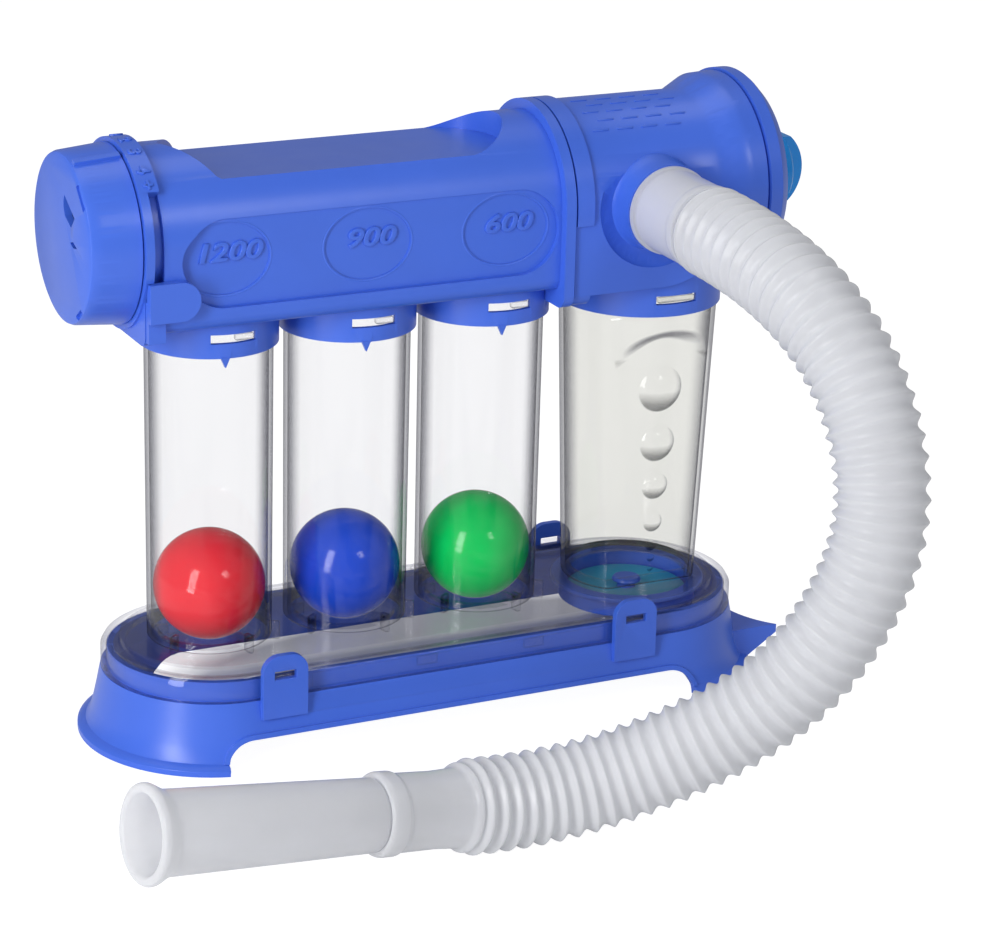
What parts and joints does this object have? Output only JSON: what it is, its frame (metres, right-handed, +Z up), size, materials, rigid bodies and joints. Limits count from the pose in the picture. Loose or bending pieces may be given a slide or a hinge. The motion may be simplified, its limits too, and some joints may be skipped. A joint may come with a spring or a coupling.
{
  "type": "incentive spirometer",
  "caption": "Incentive spirometer: clear ball columns and a graded chamber under a moulded air duct with a flow dial and selector knob, and a corrugated hose with a mouthpiece.",
  "frame": {"origin": "bottom centre of the device's bounding box without its hose, on the surface it stands on", "axes": "+X along the row of columns from the flow dial to the selector knob, -Y towards the user and the hose port, +Z up"},
  "size_m": [0.2457, 0.1861, 0.1741],
  "materials": {
    "blue_plastic": "smooth moulded",
    "clear_plastic": "clear moulded",
    "red_ball": "smooth",
    "blue_ball": "smooth",
    "green_ball": "smooth",
    "cyan_plastic": "smooth moulded",
    "cyan_film": "soft film",
    "milky_plastic": "translucent, soft sheen",
    "grey_rubber": "matt"
  },
  "bodies": {
    "device": {"stand": "blue_plastic", "clear_tray": "clear_plastic", "column_tube_1": "clear_plastic", "column_tube_2": "clear_plastic", "column_tube_3": "clear_plastic", "chamber_tube": "clear_plastic", "ball_stop_1": "clear_plastic", "ball_stop_2": "clear_plastic", "ball_stop_3": "clear_plastic", "tube_seal_1": "grey_rubber", "tube_seal_2": "grey_rubber", "tube_seal_3": "grey_rubber", "chamber_seal": "grey_rubber", "manifold_housing": "blue_plastic", "scale_ring": "blue_plastic", "ring_latch": "blue_plastic", "joint_gasket": "grey_rubber", "chamber_housing": "blue_plastic", "end_cap": "blue_plastic", "valve_seat": "blue_plastic", "port_cuff": "milky_plastic", "hose": "milky_plastic", "mouth_cuff": "milky_plastic", "mouthpiece": "milky_plastic"},
    "red_float": {"ball_red": "red_ball"},
    "blue_float": {"ball_blue": "blue_ball"},
    "green_float": {"ball_green": "green_ball"},
    "dial": {"flow_dial": "blue_plastic", "dial_sleeve": "blue_plastic"},
    "selector": {"selector_knob": "cyan_plastic", "selector_shutter": "blue_plastic"},
    "one_way_disc": {"valve_disc": "cyan_film"}
  },
  "joints": [
    {"name": "red_ball_rise", "type": "slide", "parent": "device", "child": "red_float", "axis": [0, 0, 1], "range_m": [0, 0.063]},
    {"name": "blue_ball_rise", "type": "slide", "parent": "device", "child": "blue_float", "axis": [0, 0, 1], "range_m": [0, 0.063]},
    {"name": "green_ball_rise", "type": "slide", "parent": "device", "child": "green_float", "axis": [0, 0, 1], "range_m": [0, 0.063]},
    {"name": "dial_turn", "type": "hinge", "parent": "device", "child": "dial", "pos_m": [-0.10265, 0.00527, 0.1442], "axis": [1, 0, 0], "range_deg": [-20, 27]},
    {"name": "knob_turn", "type": "hinge", "parent": "device", "child": "selector", "pos_m": [0.09935, 0.00527, 0.1442], "axis": [1, 0, 0], "range_deg": [0, 90]},
    {"name": "disc_lift", "type": "slide", "parent": "device", "child": "one_way_disc", "axis": [0, 0, 1], "range_m": [0, 0.0015]}
  ]
}
